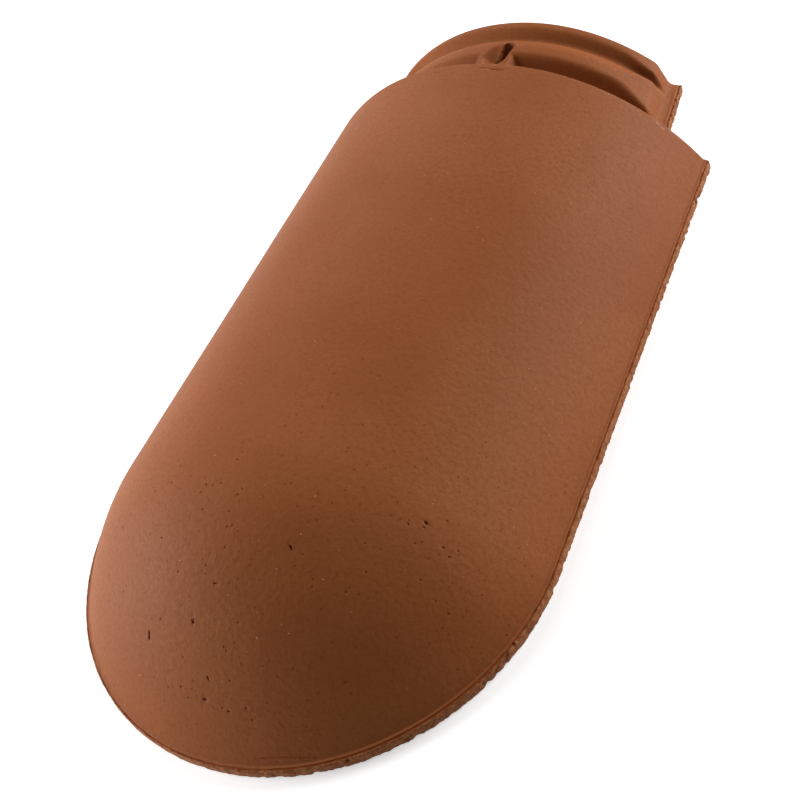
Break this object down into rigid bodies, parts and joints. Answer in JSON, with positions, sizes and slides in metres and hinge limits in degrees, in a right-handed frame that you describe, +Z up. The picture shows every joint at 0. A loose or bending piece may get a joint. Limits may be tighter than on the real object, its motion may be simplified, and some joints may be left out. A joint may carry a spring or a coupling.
{
  "type": "ridge tile",
  "caption": "Half-round fired clay ridge tile with a closed domed end, a trimmed lip and a ribbed, slotted spigot end.",
  "frame": {"origin": "middle of the tile's length and width, on the plane of the rim it lies on", "axes": "+X across the tile, +Y along it from the domed end to the spigot, +Z up through the crown"},
  "size_m": [0.227, 0.41, 0.0688],
  "materials": {
    "fired_clay": "matte natural red fired clay, unglazed, fine orange-peel skin with small pits"
  },
  "bodies": {
    "root": {"ridge_tile": "fired_clay"}
  },
  "joints": []
}
